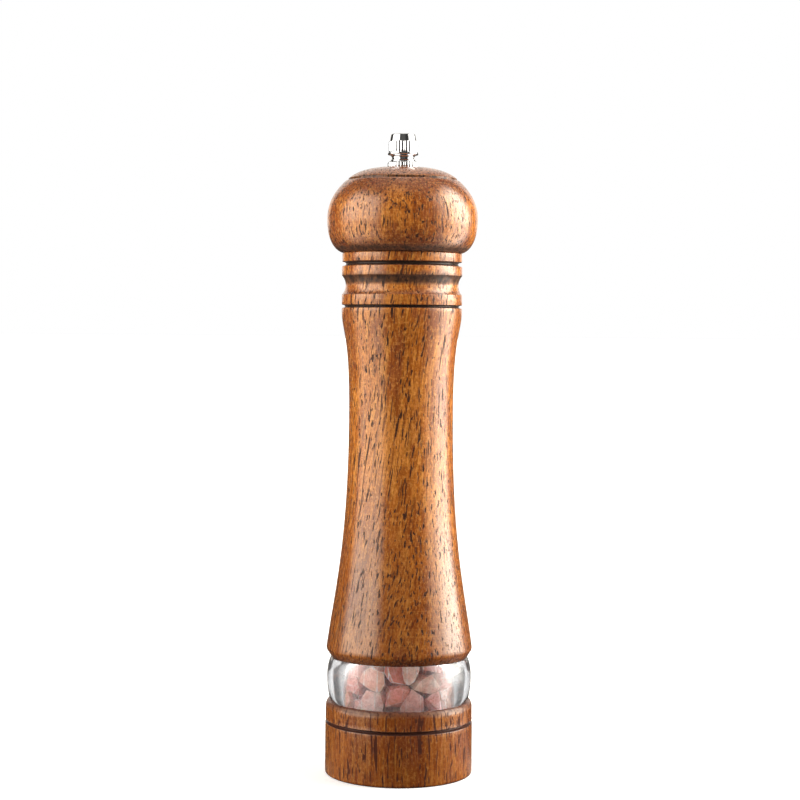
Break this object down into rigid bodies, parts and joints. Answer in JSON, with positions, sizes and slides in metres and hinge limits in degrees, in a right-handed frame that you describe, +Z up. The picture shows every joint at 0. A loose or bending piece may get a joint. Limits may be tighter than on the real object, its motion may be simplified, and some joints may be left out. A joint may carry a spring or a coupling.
{
  "type": "pepper mill",
  "caption": "Turned wooden pepper mill with a clear window ring above its base, a round head that turns, and a knurled nut on top that sets the grind.",
  "frame": {"origin": "centre of the foot, on the surface the mill stands on", "axes": "+Z up along the spindle; the mill is round, so +X is any side; the front is towards -Y"},
  "size_m": [0.06, 0.06, 0.2557],
  "materials": {
    "wood": "satin lacquer",
    "chrome": "polished",
    "zinc_steel": "satin",
    "aluminium": "satin",
    "clear_acrylic": "clear, polished",
    "black_plastic": "matte",
    "white_plastic": "matte",
    "ceramic": "matte",
    "rock_salt": "rough"
  },
  "bodies": {
    "body": {"barrel": "wood", "window_ring": "clear_acrylic", "base_ring": "wood", "grinder_housing": "black_plastic", "stator": "ceramic", "retaining_plate": "zinc_steel", "retaining_screws": "zinc_steel", "salt_crystals": "rock_salt"},
    "bushing": {"spindle_bushing": "white_plastic", "thrust_washer": "zinc_steel", "spring": "zinc_steel"},
    "spindle": {"spindle": "aluminium", "rotor": "ceramic", "rotor_core": "white_plastic", "rotor_washer": "zinc_steel", "rotor_screw": "zinc_steel"},
    "head": {"head": "wood", "top_ferrule": "chrome", "drive_plate": "zinc_steel", "drive_plate_screws": "zinc_steel"},
    "nut": {"adjusting_nut": "chrome"}
  },
  "joints": [
    {"name": "head_turn", "type": "hinge", "parent": "body", "child": "bushing", "pos_m": [0, 0, 0.0175], "axis": [0, 0, 1], "continuous": true},
    {"name": "grind_adjust", "type": "slide", "parent": "bushing", "child": "spindle", "axis": [0, 0, 1], "range_m": [0, 0.0012], "deforming": ["spring"]},
    {"name": "head_lift", "type": "slide", "parent": "bushing", "child": "head", "axis": [0, 0, 1], "range_m": [0, 0.062]},
    {"name": "nut_turn", "type": "hinge", "parent": "head", "child": "nut", "pos_m": [0, 0, 0.2449], "axis": [0, 0, 1], "range_deg": [-540, 0]}
  ],
  "couplings": [
    {"joint": "nut_turn", "follows": "grind_adjust", "rad_per_m": -7853.9}
  ]
}
